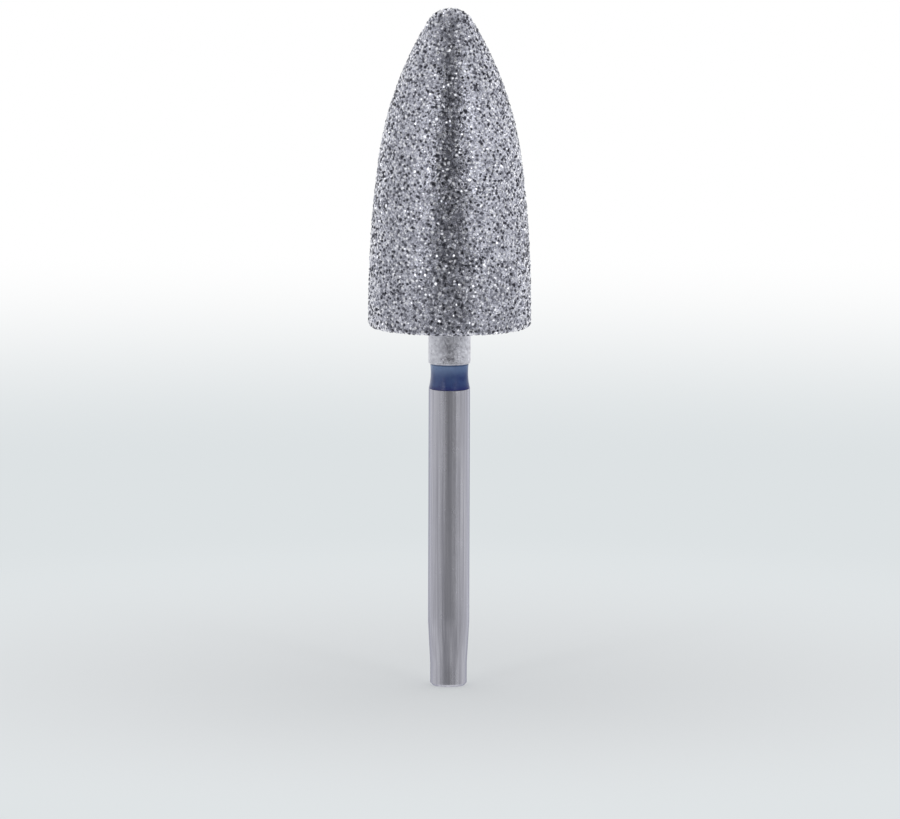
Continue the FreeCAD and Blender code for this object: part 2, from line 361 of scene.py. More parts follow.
@dataclass(frozen=True)
class Effect:
    """A node group that several finishes share, with its numeric inputs and their defaults."""

    name: str
    inputs: tuple[tuple[str, float], ...]

    def tree(self) -> bpy.types.NodeTree:
        """Makes the group, or finds it where it is made already.

        Returns:
            The group.
        """
        found = bpy.data.node_groups.get(self.name)
        if found:
            return found
        group = bpy.data.node_groups.new(self.name, "ShaderNodeTree")
        face = group.interface
        face.new_socket("Vector", in_out="INPUT", socket_type="NodeSocketVector")
        for label, value in self.inputs:
            number = face.new_socket(label, in_out="INPUT", socket_type="NodeSocketFloat")
            number.default_value = value
        face.new_socket("Value", in_out="OUTPUT", socket_type="NodeSocketFloat")
        wiring = Wiring(group)
        source = wiring.add("NodeGroupInput").outputs
        wiring.add("NodeGroupOutput", {"Value": self.wire(wiring, source)})
        return group

    def wire(self, wiring: Wiring, source: Sockets) -> Socket:
        """Wires the effect from the group's inputs and returns its value."""
        raise NotImplementedError

    @staticmethod
    def stretched(wiring: Wiring, source: Sockets, noise: bpy.types.Node) -> Socket:
        """Stretches the middle of a noise, so that it reaches from the group's Low to its High.

        Args:
            wiring: The group's nodes.
            source: The group's inputs.
            noise: The noise texture.

        Returns:
            The value.
        """
        spread = wiring.ranged(noise.outputs["Fac"], 0.3, 0.7, ramp=Ramp.EVEN)
        span = wiring.maths("SUBTRACT", source["High"], source["Low"])
        return wiring.maths("MULTIPLY_ADD", spread, span, source["Low"])

    def place(self, wiring: Wiring, place: Socket, **values: float) -> Socket:
        """The effect's value at a place, in a finish that gives the group values of its own."""
        inputs = {"Vector": place} | {label.title(): value for label, value in values.items()}
        return wiring.add("Group", inputs, node_tree=self.tree()).outputs["Value"]


class Mottle(Effect):
    """Soft cloudy patches: fractal noise brought to a range."""

    def wire(self, wiring: Wiring, source: Sockets) -> Socket:
        """Noise of the place times the scale, between Low and High."""
        inputs = {label: source[label] for label in ("Vector", "Scale", "Detail")}
        return self.stretched(wiring, source, wiring.add("TexNoise", {**inputs, "Roughness": 0.6}))


class Streaks(Effect):
    """Long marks along the axis: noise that is fine across it and slow along it."""

    def wire(self, wiring: Wiring, source: Sockets) -> Socket:
        """Noise of (x, y) times Across and z times Along, between Low and High.

        Args:
            wiring: The group's nodes.
            source: The group's inputs.

        Returns:
            The value.
        """
        part = wiring.add("SeparateXYZ", {"Vector": source["Vector"]}).outputs
        scales = {"X": "Across", "Y": "Across", "Z": "Along"}
        moved = {k: wiring.maths("MULTIPLY", part[k], source[scale]) for k, scale in scales.items()}
        place = wiring.add("CombineXYZ", moved).outputs[0]
        inputs = {"Vector": place, "Scale": 1.0, "Detail": 2.0, "Roughness": 0.5}
        return self.stretched(wiring, source, wiring.add("TexNoise", inputs))


MOTTLE = Mottle("Mottle", (("Scale", 1000.0), ("Detail", 3.0), ("Low", 0.0), ("High", 1.0)))
STREAKS = Streaks(
    "Lengthwise streaks", (("Across", 3000.0), ("Along", 60.0), ("Low", 0.0), ("High", 1.0))
)


# Finishes


@dataclass(frozen=True)
class Finish:
    """A procedural material. Each kind of finish wires its own nodes."""

    name: str

    def material(self) -> bpy.types.Material:
        """Makes the material.

        Returns:
            The finish as a material.
        """
        made = bpy.data.materials.new(self.name)
        made.use_nodes = True
        wiring = Wiring(made.node_tree)
        place = wiring.add("TexCoord").outputs["Object"]
        wiring.add("OutputMaterial", {"Surface": self.wire(wiring, place)})
        return made

    def wire(self, wiring: Wiring, place: Socket) -> Socket:
        """Wires the surface from the place on the object and returns the shader."""
        raise NotImplementedError

    @staticmethod
    def raised(wiring: Wiring, height: Socket, depth: float) -> Socket:
        """The normal of a relief: a height from 0 to 1 times a depth in millimetres."""
        inputs = {"Strength": 1.0, "Distance": depth * MM, "Height": height}
        return wiring.add("Bump", inputs).outputs["Normal"]


@dataclass(frozen=True)
class GroundSteel(Finish):
    """Centreless ground steel: lengthwise reflections that waver a little."""

    name: str = "ground steel"
    light: Colour = rgb(212, 212, 221)
    dark: Colour = rgb(162, 162, 172)
    edge: Colour = rgb(184, 186, 196)  # what is left of it at a glancing look
    rough: Pair = (0.20, 0.27)  # in the dark and in the light streaks
    depth: float = 0.012  # of its relief, in millimetres

    def wire(self, wiring: Wiring, place: Socket) -> Socket:
        """Steel whose colour and gloss vary in streaks, over a shallow relief of the same kind.

        Args:
            wiring: The material's nodes.
            place: The place on the object.

        Returns:
            The shader.
        """
        wide = STREAKS.place(wiring, place, across=2200.0, along=55.0)
        fine = STREAKS.place(wiring, place, across=7000.0, along=110.0)
        cloud = MOTTLE.place(wiring, place, scale=1400.0, low=-0.03, high=0.03)
        height = wiring.maths("MULTIPLY_ADD", fine, 0.2, wide)
        tone = wiring.maths("MULTIPLY_ADD", fine, 0.6, wiring.maths("MULTIPLY", wide, 0.4))
        rough = wiring.maths("ADD", wiring.ranged(fine, 0.0, 1.0, *self.rough, Ramp.EVEN), cloud)
        return wiring.surface(
            {
                "Base Color": wiring.blend(tone, self.dark, self.light),
                "Metallic": 1.0,
                "Roughness": rough,
                "Specular Tint": self.edge,
                "Normal": self.raised(wiring, height, self.depth),
            }
        )


@dataclass(frozen=True)
class PlatedNickel(Finish):
    """Dull electroplated nickel, with the soft mottle of a thick deposit."""

    name: str = "plated nickel"
    light: Colour = rgb(232, 234, 242)
    dark: Colour = rgb(148, 148, 158)
    rough: Pair = (0.26, 0.38)  # in the hollows and on the heights of its grain
    depth: float = 0.026  # of its relief, in millimetres
    grain: float = 4200.0  # how fine its grain is, in waves to the metre

    def wire(self, wiring: Wiring, place: Socket) -> Socket:
        """Nickel whose colour, gloss and relief follow one grain, with slower clouds over it.

        Args:
            wiring: The material's nodes.
            place: The place on the object.

        Returns:
            The shader.
        """
        grain = MOTTLE.place(wiring, place, scale=self.grain, detail=4.0)
        cloud = MOTTLE.place(wiring, place, scale=1500.0)
        tone = wiring.maths("MULTIPLY_ADD", grain, 0.6, wiring.maths("MULTIPLY", cloud, 0.4))
        return wiring.surface(
            {
                "Base Color": wiring.blend(tone, self.dark, self.light),
                "Metallic": 1.0,
                "Roughness": wiring.ranged(grain, 0.0, 1.0, *self.rough, Ramp.EVEN),
                "Normal": self.raised(wiring, grain, self.depth),
            }
        )


@dataclass(frozen=True)
class RingEnamel(Finish):
    """Glossy blue enamel with painted shade at its foot, on its right and under the neck, and painted
    light towards the top.

    Heights are in millimetres over the ring's lower edge, and sides in millimetres to the right.
    """

    name: str = "ring enamel"
    light: Colour = rgb(68, 90, 138)
    dark: Colour = rgb(52, 68, 122)
    # painted light towards the top
    painted_top_light: Colour = rgb(119, 142, 181)
    # painted shade at the foot of the groove
    painted_foot_shade: Colour = rgb(46, 54, 116)
    edge: Colour = rgb(72, 92, 126)  # painted shadow along the lip under the neck
    low: float = 0.0  # height of the lower edge on the bur, in millimetres
    foot: Pair = (0.10, 0.34)  # where the painted shade at the foot ends
    top: Pair = (0.70, 1.46)  # where the painted light towards the top grows
    # where the painted shadow under the neck lies
    lip_shadow: Pair = (1.31, 1.39)
    top_light_share: Pair = (1.0, 0.78)  # share of the painted top light in the middle and at the right, where less of it leaves painted shade
    right: float = 0.8  # side from which the painted top light is as weak as at the right
    shine: Pair = (0.5, 0.10)  # strength of its reflection on the left and on the right
    fading: Pair = (-0.05, 0.65)  # sides between which that grows weaker
    rough: Pair = (0.26, 0.36)
    depth: float = 0.008  # of its relief, in millimetres

    def wire(self, wiring: Wiring, place: Socket) -> Socket:
        """Blue with faint clouds under a smooth clear top.

        Args:
            wiring: The material's nodes.
            place: The place on the object.

        Returns:
            The shader.
        """
        cloud = MOTTLE.place(wiring, place, scale=1700.0, detail=2.0)
        ripple = MOTTLE.place(wiring, place, scale=900.0, detail=1.0)
        part = wiring.add("SeparateXYZ", {"Vector": place}).outputs
        side = wiring.maths("MULTIPLY_ADD", ripple, 0.3 * MM, part["X"])
        wavy = wiring.maths("MULTIPLY_ADD", ripple, 0.12 * MM, part["Z"])
        foot, top, lip_shadow = (
            wiring.ranged(height, (self.low + span[0]) * MM, (self.low + span[1]) * MM)
            for height, span in ((wavy, self.foot), (wavy, self.top), (part["Z"], self.lip_shadow))
        )
        # less of the painted top light on the right: painted shade on that side
        top_light_share = wiring.ranged(side, 0.0, self.right * MM, *self.top_light_share)
        body = wiring.blend(cloud, self.dark, self.light)
        # painted shade at the foot
        body = wiring.blend(foot, self.painted_foot_shade, body)
        # painted light towards the top
        body = wiring.blend(wiring.maths("MULTIPLY", top, top_light_share), body, self.painted_top_light)
        fading = (at * MM for at in self.fading)
        return wiring.surface(
            {
                # painted shadow along the lip under the neck
                "Base Color": wiring.blend(lip_shadow, body, self.edge),
                "Roughness": wiring.ranged(cloud, 0.0, 1.0, *self.rough, Ramp.EVEN),
                "IOR": 1.45,
                "Specular IOR Level": wiring.ranged(part["X"], *fading, *self.shine),
                "Normal": self.raised(wiring, ripple, self.depth),
            }
        )


@dataclass(frozen=True)
class DiamondGrit(Finish):
    """Diamond crystals, each with its own tone: from smoky to nearly white."""

    name: str = "diamond grit"
    pale: Colour = rgb(244, 245, 251)
    middle: Colour = rgb(176, 178, 191)
    smoky: Colour = rgb(46, 47, 60)
    rough: Pair = (0.26, 0.17)  # of smoky and of pale crystals

    def wire(self, wiring: Wiring, place: Socket) -> Socket:
        """Facets whose colour and gloss follow the tone of their crystal.

        Args:
            wiring: The material's nodes.
            place: The place on the object.

        Returns:
            The shader.
        """
        tone = wiring.add("Attribute", attribute_name="tone", attribute_type="GEOMETRY")
        cloud = MOTTLE.place(wiring, place, scale=300.0, low=-0.03, high=0.03)
        shade = wiring.maths("ADD", tone.outputs["Fac"], cloud, clamp=True)
        low, high = (wiring.ranged(shade, at, at + 0.5, ramp=Ramp.EVEN) for at in (0.0, 0.5))
        body = wiring.blend(low, self.smoky, self.middle)
        return wiring.surface(
            {
                "Base Color": wiring.blend(high, body, self.pale),
                "Metallic": 0.8,
                "Roughness": wiring.ranged(shade, 0.0, 1.0, *self.rough, Ramp.EVEN),
                "IOR": 2.0,
            }
        )


@dataclass(frozen=True)
class PaleFloor(Finish):
    """Matt pale floor that grows even and bright away from the bur and keeps its shadow.

    Its spans are in metres from the foot of the bur.
    """

    name: str = "pale floor"
    near: Colour = rgb(234, 237, 239)
    middle: Colour = rgb(221, 226, 228)
    far: Colour = rgb(255, 255, 255)
    to_middle: Pair = (0.012, 0.06)
    to_far: Pair = (0.09, 0.20)
    to_even: Pair = (0.004, 0.05)  # where its own light takes over from the lamps
    least: float = 0.35  # share of its own light at the foot of the bur

    def wire(self, wiring: Wiring, place: Socket) -> Socket:
        """Matt paint near the bur and, for what looks at it straight, its own light farther out.

        Args:
            wiring: The material's nodes.
            place: The place on the object.

        Returns:
            The shader.
        """
        distance = wiring.add("VectorMath", {0: place}, operation="LENGTH").outputs["Value"]
        tone = wiring.blend(wiring.ranged(distance, *self.to_middle), self.near, self.middle)
        tone = wiring.blend(wiring.ranged(distance, *self.to_far), tone, self.far)
        path = wiring.add("LightPath").outputs
        seen = wiring.maths("MAXIMUM", path["Is Camera Ray"], path["Is Glossy Ray"])
        own = wiring.ranged(distance, *self.to_even, self.least, 1.0)
        matt = wiring.add("BsdfDiffuse", {"Color": tone}).outputs[0]
        glow = wiring.add("Emission", {"Color": tone, "Strength": 1.0}).outputs[0]
        share = wiring.maths("MULTIPLY", seen, own)
        return wiring.add("MixShader", {0: share, 1: matt, 2: glow}).outputs[0]


# The bur


@dataclass(frozen=True)
class BurSizes:
    """Sizes of the bur in millimetres, and the heights and radii that follow from them."""

    shank_diameter: float = 2.35
    shank_length: float = 17.08
    lead_in_diameter: float = 2.09
    lead_in_length: float = 1.26
    lead_in_taper: float = 2.40
    end_bevel: float = 0.15
    ring_height: float = 1.42
    ring_sink: float = 0.115
    ring_waist_height: float = 0.90
    enamel_thickness: float = 0.085
    neck_plating: float = 0.025
    neck_length: float = 2.10
    neck_bevel: float = 0.10
    head_diameter: float = 9.30
    rim_radius: float = 0.28
    land_height: float = 1.10
    flank_height: float = 8.50
    flank_inset: float = 0.565
    point_height: float = 8.60
    nose_radius: float = 1.50
    grit_layer: float = 0.15

    @property
    def shank_r(self) -> float:
        """Radius of the shank."""
        return self.shank_diameter / 2

    @property
    def neck_r(self) -> float:
        """Radius of the plated neck."""
        return self.shank_r + self.neck_plating

    @property
    def waist_r(self) -> float:
        """Radius of the ring at its waist."""
        return self.shank_r - self.ring_sink

    @property
    def bed_r(self) -> float:
        """Radius of the groove under the ring."""
        return self.waist_r - self.enamel_thickness

    @property
    def head_r(self) -> float:
        """Radius of the head over its grit."""
        return self.head_diameter / 2

    @property
    def groove_z(self) -> float:
        """Lower edge of the ring."""
        return self.shank_length

    @property
    def throat_z(self) -> float:
        """Upper edge of the ring, where the neck starts."""
        return self.groove_z + self.ring_height

    @property
    def head_z(self) -> float:
        """Underside of the head."""
        return self.throat_z + self.neck_length

    @property
    def land_z(self) -> float:
        """Top of the head's straight land."""
        return self.head_z + self.land_height

    @property
    def flank_z(self) -> float:
        """Top of the long flank arc."""
        return self.land_z + self.flank_height

    @property
    def tip_z(self) -> float:
        """The tip."""
        return self.flank_z + self.point_height

    @property
    def lean(self) -> float:
        """Angle that the flank arc turns: twice the one of its chord to the upright."""
        return 2 * math.atan2(self.flank_inset, self.flank_height)

    @property
    def flank_r(self) -> float:
        """Radius of the flank arc: its height over the sine of its turn."""
        return self.flank_height / math.sin(self.lean)

    def shoulder(self) -> tuple[Pair, float, float]:
        """Works out the arc between flank and nose.

        Its centre lies on the flank's end radius, and the distance from it to the nose's centre is
        the difference of the two radii. With D from the nose's centre to the flank's end and n the
        flank's end normal, that gives radius = (D.D - nose^2) / (2 (D.n - nose)).

        Returns:
            The arc's centre, its radius and its last angle.
        """
        end = np.array([self.head_r - self.flank_inset, self.flank_z])
        normal = np.array([math.cos(self.lean), math.sin(self.lean)])
        hub = np.array([0.0, self.tip_z - self.nose_radius])
        apart = end - hub
        radius = (apart @ apart - self.nose_radius**2) / (2 * (apart @ normal - self.nose_radius))
        centre = end - radius * normal
        last = math.atan2(hub[1] - centre[1], hub[0] - centre[0])
        return (float(centre[0]), float(centre[1])), float(radius), last


def head_runs(s: BurSizes, depth: float, step: float) -> list[np.ndarray]:
    """The runs of the head's outline at a depth under its outer surface, from the neck to the tip.

    Every arc keeps its centre and loses the depth from its radius, so the layer has one thickness.

    Args:
        s: Sizes of the bur.
        depth: Depth under the outer surface, less than the rim's radius.
        step: Longest distance between two points.

    Returns:
        Underside, rim, land, flank, shoulder and nose, without the tip itself.
    """
    foot, wall = s.head_z + depth, s.head_r - depth
    rim = (s.head_r - s.rim_radius, s.head_z + s.rim_radius)
    centre, radius, last = s.shoulder()
    return [
        Outline.line((s.neck_r, foot), (rim[0], foot), step),
        Outline.arc(rim, s.rim_radius - depth, -math.pi / 2, 0.0, step / 2),
        Outline.line((wall, rim[1]), (wall, s.land_z), step),
        Outline.arc((s.head_r - s.flank_r, s.land_z), s.flank_r - depth, 0.0, s.lean, step),
        Outline.arc(centre, radius - depth, s.lean, last, step),
        Outline.arc((0.0, s.tip_z - s.nose_radius), s.nose_radius - depth, last, math.pi / 2, step),
    ]


@dataclass
class SteelBlank:
    """The turned steel blank: shank, groove for the ring, neck and the core inside the head."""

    s: BurSizes
    sides: int = 160
    step: float = 0.4
    corner: float = 0.035  # chamfer of the groove's lower edge
    collar: float = 0.07  # first strip of the neck's wall, short so that the bevel's shading ends there
    crease: float = 28.0  # least angle of a sharp edge, in degrees

    def outline(self) -> Outline:
        """Draws the blank from the end face up to the top of the core.

        Returns:
            Its half outline.
        """
        s, c, step = self.s, self.corner, self.step
        lead, end = s.lead_in_diameter / 2, s.end_bevel
        taper = s.lead_in_length + s.lead_in_taper
        inner, seat = s.neck_r - s.neck_bevel, s.throat_z + s.neck_bevel
        return Outline.joined(
            Outline.line((0.0, 0.0), (lead - end, 0.0), step),
            Outline.line((lead - end, 0.0), (lead, end), end * step),
            Outline.line((lead, end), (lead, s.lead_in_length), step),
            Outline.line((lead, s.lead_in_length), (s.shank_r, taper), step),
            Outline.line((s.shank_r, taper), (s.shank_r, s.groove_z - c), step),
            [(s.shank_r, s.groove_z - c), (s.shank_r - c, s.groove_z)],
            [(s.bed_r, s.groove_z), (s.bed_r, s.throat_z)],
            [(inner, s.throat_z)],
            Outline.arc((inner, seat), s.neck_bevel, -math.pi / 2, 0.0, s.neck_bevel / 6),
            [(s.neck_r, seat)],
            Outline.line((s.neck_r, seat + self.collar), (s.neck_r, s.head_z + s.grit_layer), step / 2),
            *head_runs(s, s.grit_layer, step),
            [(0.0, s.tip_z - s.grit_layer)],
        )

    def build(self) -> bpy.types.Object:
        """Builds the blank, ground below the groove and plated above it.

        Returns:
            The piece.
        """
        mesh = Lathe(self.sides).mesh("blank", self.outline(), loop=False)
        mesh.materials.append(GroundSteel().material())
        mesh.materials.append(PlatedNickel().material())
        centres = np.empty(len(mesh.polygons) * 3, np.float32)
        mesh.polygons.foreach_get("center", centres)
        plated = centres[2::3] > (self.s.throat_z - self.s.ring_height / 2) * MM
        mesh.polygons.foreach_set("material_index", plated.astype(np.int32))
        mesh.set_sharp_from_angle(angle=math.radians(self.crease))
        return add_piece(mesh, "blank_steel", "steel_blank")


@dataclass
class ColourRing:
    """The enamel ring in its groove, with a face that is drawn in to a waist."""

    s: BurSizes
    sides: int = 160
    corner: float = 0.02  # radius of the roundings at its lower and upper edge
    meets: Pair = (-0.2, 0.1)  # angles at which these meet the face, in radians
    step: float = 0.3
    rows: int = 40  # points on its face
    crease: float = 40.0  # least angle of a sharp edge, in degrees

    def face(self) -> np.ndarray:
        """Draws the waisted face: an arc that touches the shank's radius at the lower edge.

        The arc's radius is (h^2 + d^2) / (2 d), for the waist's height h over the lower edge and its
        depth d under the shank, and its centre is level with the waist, outside the ring.

        Returns:
            The points, as an array of (radius, height).
        """
        s = self.s
        bend = (s.ring_waist_height**2 + s.ring_sink**2) / (2 * s.ring_sink)
        z = np.linspace(0.0, s.ring_height, self.rows)
        r = s.waist_r + bend - np.sqrt(bend**2 - (z - s.ring_waist_height) ** 2)
        return np.stack([r, z + s.groove_z], 1)

    def outline(self) -> Outline:
        """Draws the ring: underside, waisted face, top and bed.

        Returns:
            Its closed half outline.
        """
        s, face, c = self.s, self.face(), self.corner
        low, high = face[0, 0] - c, face[-1, 0] - c
        return Outline.joined(
            [(s.bed_r, s.groove_z), (low, s.groove_z)],
            Outline.arc((low, s.groove_z + c), c, -math.pi / 2, self.meets[0], c / 4),
            face[1:-1],
            Outline.arc((high, s.throat_z - c), c, self.meets[1], math.pi / 2, c / 4),
            [(high, s.throat_z), (s.bed_r, s.throat_z)],
            Outline.line((s.bed_r, s.throat_z), (s.bed_r, s.groove_z), self.step)[1:],
        )

    def build(self) -> bpy.types.Object:
        """Builds the ring.

        Returns:
            The piece.
        """
        mesh = Lathe(self.sides).mesh("ring", self.outline(), loop=True)
        mesh.materials.append(RingEnamel(low=self.s.groove_z).material())
        mesh.set_sharp_from_angle(angle=math.radians(self.crease))
        return add_piece(mesh, "ring_enamel", "colour_ring")


@dataclass
class NickelBond:
    """The nickel that holds the grit: a shell over the core, raised and sunk between the crystals."""

    s: BurSizes
    depth: float = 0.070  # of its surface under the points of the grit
    relief: float = 0.005  # of its swells, cut off where they are half as high again
    waves: int = 24  # that make up the swells
    fineness: Pair = (9.0, 22.0)  # radians to the millimetre of the longest and the shortest wave
    sides: int = 300
    step: float = 0.12
    seed: int = 4
    finish: PlatedNickel = PlatedNickel(
        name="nickel bond",
        light=rgb(240, 242, 255),
        dark=rgb(56, 57, 72),
        rough=(0.14, 0.22),
        depth=0.015,
        grain=6200.0,
    )

    def swell(self, places: np.ndarray) -> np.ndarray:
        """Relief of the deposit: a sum of waves, each the sine of the place along a random line.

        Args:
            places: Points of the surface in millimetres, as (rows, sides, 3).

        Returns:
            Heights whose mean square is a half, as (rows, sides).
        """
        draw, n = np.random.default_rng(self.seed), self.waves
        ways = draw.normal(size=(n, 3))
        ways *= draw.uniform(*self.fineness, (n, 1)) / np.linalg.norm(ways, axis=1, keepdims=True)
        phases = draw.uniform(0.0, 2 * math.pi, n)
        return np.sin(places @ ways.T + phases).sum(2) / math.sqrt(n)

    def build(self) -> bpy.types.Object:
        """Builds the shell: its outer surface with the relief, and a coarser one on the core.

        Returns:
            The piece.
        """
        s, lathe = self.s, Lathe(self.sides)
        inner = np.concatenate(head_runs(s, s.grit_layer, 4 * self.step))[::-1]
        outer = np.concatenate(head_runs(s, self.depth, self.step))
        ends = [(0.0, s.tip_z - s.grit_layer)], [(0.0, s.tip_z - self.depth)]
        outline = Outline.joined(ends[0], inner, outer, ends[1])
        first = len(inner) + 2
        places = lathe.places(outline)[first:-1]
        heights = np.zeros((len(outline.points), self.sides))
        heights[first:-1] = np.clip(self.swell(places), -1.5, 1.5) * self.relief
        mesh = lathe.mesh("bond", outline, loop=False, relief=heights)
        mesh.materials.append(self.finish.material())
        return add_piece(mesh, "diamond_grit", "diamond_layer")


class Part(Enum):
    """The parts of the head's coat, each with the share of its area, from the neck, where it ends."""

    RIM = ("grit_rim", 0.205)
    FLANK_LOW = ("grit_flank_low", 0.41)
    FLANK_HIGH = ("grit_flank_high", 0.62)
    SHOULDER = ("grit_shoulder", 0.82)
    NOSE = ("grit_nose", 1.0)


# A crystal between octahedron and cube: its corners are the middles of a cube's edges.
CRYSTAL = np.array(
    [(x, y, 0) for x in (-1, 1) for y in (-1, 1)]
    + [(x, 0, z) for x in (-1, 1) for z in (-1, 1)]
    + [(0, y, z) for y in (-1, 1) for z in (-1, 1)],
    float,
)


def crystal_faces() -> tuple[np.ndarray, np.ndarray]:
    """Finds the faces of the crystal.

    A face is the set of corners that lie farthest along its normal. They are put in order by their
    angle about that normal.

    Returns:
        Its eight triangles and its six squares, as corner numbers in order round the outside.
    """
    triangles = [np.array([x, y, z]) for x in (-1, 1) for y in (-1, 1) for z in (-1, 1)]
    squares = [np.roll([w, 0, 0], k) for k in range(3) for w in (-1, 1)]

    def ring(normal: np.ndarray) -> np.ndarray:
        """Finds one face.

        Args:
            normal: Its normal.

        Returns:
            Its corners, anticlockwise from outside.
        """
        far = CRYSTAL @ normal
        corners = np.flatnonzero(far > far.max() - 1e-6)
        about = CRYSTAL[corners] - CRYSTAL[corners].mean(0)
        first, second = about[0], np.cross(normal, about[0])
        across = about @ second / np.linalg.norm(second)
        along = about @ first / np.linalg.norm(first)
        return corners[np.argsort(np.arctan2(across, along))]

    return np.array([ring(n) for n in triangles]), np.array([ring(n) for n in squares])


def turns(axis: np.ndarray, angle: np.ndarray) -> np.ndarray:
    """Rotation matrices about unit axes: 1 cos a + (axis x) sin a + axis axis^T (1 - cos a).

    Args:
        axis: Unit axes, as (n, 3).
        angle: Angles in radians, as (n,).

    Returns:
        The matrices, as (n, 3, 3).
    """
    x, y, z = axis.T
    none = np.zeros_like(x)
    cross = np.stack([none, -z, y, z, none, -x, -y, x, none], 1).reshape(-1, 3, 3)
    c, s = np.cos(angle)[:, None, None], np.sin(angle)[:, None, None]
    return np.eye(3) * c + cross * s + axis[:, :, None] * axis[:, None, :] * (1 - c)


@dataclass
class GritCoat:
    """The diamond crystals, set side by side in the bond with their points at the coat's surface."""

    s: BurSizes
    count: int = 15000
    half_width: float = 0.074  # half of a crystal's mean width between flats
    spread: float = 0.11  # of the width from crystal to crystal
    squash: float = 0.16  # of a crystal's three widths from each other
    jitter: float = 0.30  # how far a crystal is moved at most, of the distance to the next
    ends: Pair = (0.08, 0.005)  # how far crystals keep from the neck and from the tip
    step: float = 0.02  # of the outline that they are spread over
    tilt: float = 0.27  # of the outer facet, in radians
    clear: float = 0.006  # how far the highest points lie under the surface
    unevenness: float = 0.042  # how much lower points may lie
    swing: float = 0.36  # the share of that for a wave of mean height
    turn: float = 0.26  # how far it is from one high, or pale, crystal to the next
    waves: int = 64  # that put high and low, or pale and smoky, crystals in turn
    chance: float = 0.12  # the random part in the order of tones
    contrast: Pair = (0.42, 0.38)  # powers of the beta curve that tones are drawn from
    seed: int = 11
    parts: tuple[Part, ...] = tuple(Part)

    def lay_out(self, draw: np.random.Generator) -> tuple[np.ndarray, np.ndarray, np.ndarray]:
        """Spreads the crystals over the head so that each has the same area.

        Crystal i stands where the area from the neck up is (i + 1/2) / count of the whole, a golden
        turn further round than the one before, and both are moved at random by part of a width.

        Args:
            draw: Source of the random moves.

        Returns:
            Places on the surface, outward normals, and the share of the area at each.
        """
        s, n = self.s, self.count
        outline = Outline.joined(*head_runs(s, 0.0, self.step), [(0.0, s.tip_z)])
        r, along = outline.points[:, 0], outline.lengths()
        rings = (r[1:] + r[:-1]) * np.diff(along)
        area = np.concatenate([[0.0], np.cumsum(rings)])
        spacing = math.sqrt(math.pi * area[-1] / n)
        share = (np.arange(n) + 0.5) / n
        at = np.interp(share, area / area[-1], along)
        at += draw.uniform(-self.jitter, self.jitter, n) * spacing
        at = np.clip(at, self.ends[0], along[-1] - self.ends[1])
        radius = np.interp(at, along, r)
        height = np.interp(at, along, outline.points[:, 1])
        normal = np.stack([np.interp(at, along, part) for part in outline.normals().T], 1)
        normal /= np.linalg.norm(normal, axis=1, keepdims=True)
        angle = np.arange(n) * GOLDEN_TURN
        angle += draw.uniform(-self.jitter, self.jitter, n) * spacing / np.maximum(radius, 0.1)
        c, d = np.cos(angle), np.sin(angle)
        places = np.stack([radius * c, radius * d, height], 1)
        normals = np.stack([normal[:, 0] * c, normal[:, 0] * d, normal[:, 1]], 1)
        return places, normals, share

    def swell(self, draw: np.random.Generator, places: np.ndarray) -> np.ndarray:
        """Gives each crystal a number that takes turns between high and low over the surface.

        It is a sum of sines of the place along random lines, all of one wave length.

        Args:
            draw: Source of the lines and phases.
            places: Places of the crystals.

        Returns:
            The numbers, whose mean square is 1.
        """
        ways = draw.normal(size=(self.waves, 3))
        ways *= 2 * math.pi / self.turn / np.linalg.norm(ways, axis=1, keepdims=True)
        phases = draw.uniform(0, 2 * math.pi, self.waves)
        return np.sin(places @ ways.T + phases).sum(1) / math.sqrt(self.waves / 2)

    def shapes(
        self, draw: np.random.Generator, places: np.ndarray, normals: np.ndarray
    ) -> np.ndarray:
        """Shapes and sets every crystal.

        A crystal is scaled along its own axes, brought to lie on a square or a triangle, spun about
        the surface's normal, tilted a little and moved down until its highest corner is at the
        surface, or under it where the waves are high.

        Args:
            draw: Source of the random numbers.
            places: Places on the surface.
            normals: Outward normals there.

        Returns:
            The crystals' corners, as (count, 12, 3).
        """
        n = len(places)
        width = self.half_width * np.exp(draw.normal(0.0, self.spread, (n, 1)))
        scale = width * np.exp(draw.normal(0.0, self.squash, (n, 3)))
        corner = np.array([[1.0, -1.0, 0.0]]) / math.sqrt(2)
        lay = np.where(draw.random(n) < 0.5, math.acos(1 / math.sqrt(3)), 0.0)
        spin = turns(np.tile([[0.0, 0.0, 1.0]], (n, 1)), draw.uniform(0, 2 * math.pi, n))
        way = draw.uniform(0, 2 * math.pi, n)
        level = np.stack([np.cos(way), np.sin(way), np.zeros(n)], 1)
        lean = turns(level, np.abs(draw.normal(0.0, self.tilt, n)))
        steep = np.abs(normals[:, 2:]) < 0.9
        side = np.cross(normals, np.where(steep, [[0.0, 0.0, 1.0]], [[1.0, 0.0, 0.0]]))
        side /= np.linalg.norm(side, axis=1, keepdims=True)
        stand = np.stack([side, np.cross(normals, side), normals], 2)
        turn = stand @ lean @ spin @ turns(np.repeat(corner, n, 0), lay)
        corners = np.einsum("nij,nkj->nki", turn, CRYSTAL[None] * scale[:, None])
        highest = np.einsum("nki,ni->nk", corners, normals).max(1)
        low = np.clip(0.5 + self.swing * self.swell(draw, places), 0.0, 1.0)
        sunk = highest + self.clear + self.unevenness * low
        return corners + (places - normals * sunk[:, None])[:, None]

    def tones(self, draw: np.random.Generator, places: np.ndarray) -> np.ndarray:
        """Gives every crystal its tone.

        Waves of their own, with a random part, put the crystals in order, so that dark and pale
        ones take turns. The tones, drawn at random, are dealt out in that order.

        Args:
            draw: Source of the random numbers.
            places: Places of the crystals.

        Returns:
            The tones, from 0 for smoky to 1 for nearly white.
        """
        waves = self.swell(draw, places)
        order = np.argsort(waves + draw.normal(0.0, self.chance, len(places)))
        tones = np.empty(len(places))
        tones[order] = np.sort(draw.beta(*self.contrast, len(places)))
        return tones

